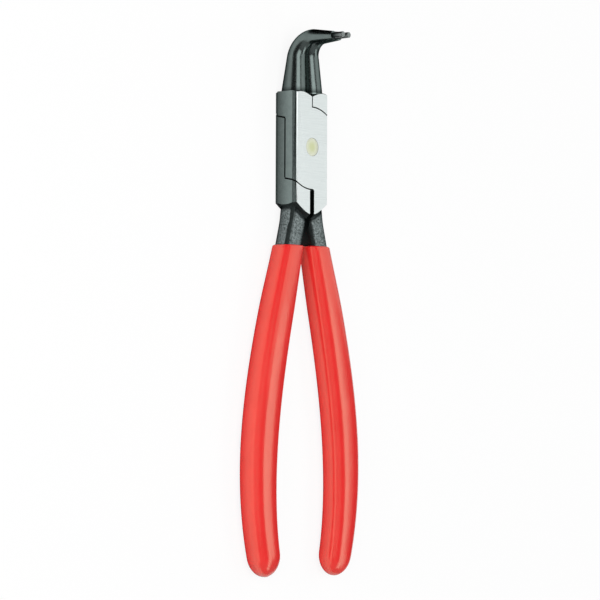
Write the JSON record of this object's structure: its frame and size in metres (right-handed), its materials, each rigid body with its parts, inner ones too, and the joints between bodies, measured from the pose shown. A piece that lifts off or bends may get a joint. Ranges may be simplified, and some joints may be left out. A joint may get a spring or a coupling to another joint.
{
  "type": "circlip pliers",
  "caption": "Lap-jointed pliers with slim tapered jaws bent forward at a right angle, ending in pins that squeeze internal circlips; red dip-coated handles.",
  "frame": {"origin": "where the pivot axis meets the plane of the joint's back face, on which the pliers lie", "axes": "+Y along the tool towards the jaws, +Z out of the front face and along the tip pins, +X to the right seen from the front"},
  "size_m": [0.0504, 0.1705, 0.0228],
  "materials": {
    "blackened_steel": "black oxide over forged steel, bright where the joint faces are ground",
    "rivet_steel": "ground flush",
    "grip_plastic": "dipped, glossy"
  },
  "bodies": {
    "rear_half": {"rear_arm": "blackened_steel", "pivot_rivet": "rivet_steel", "left_grip_coat": "grip_plastic"},
    "front_half": {"front_arm": "blackened_steel", "right_grip_coat": "grip_plastic"}
  },
  "joints": [
    {"name": "pivot", "type": "hinge", "parent": "rear_half", "child": "front_half", "pos_m": [0, 0, 0], "axis": [0, 0, 1], "range_deg": [0, 40]}
  ]
}
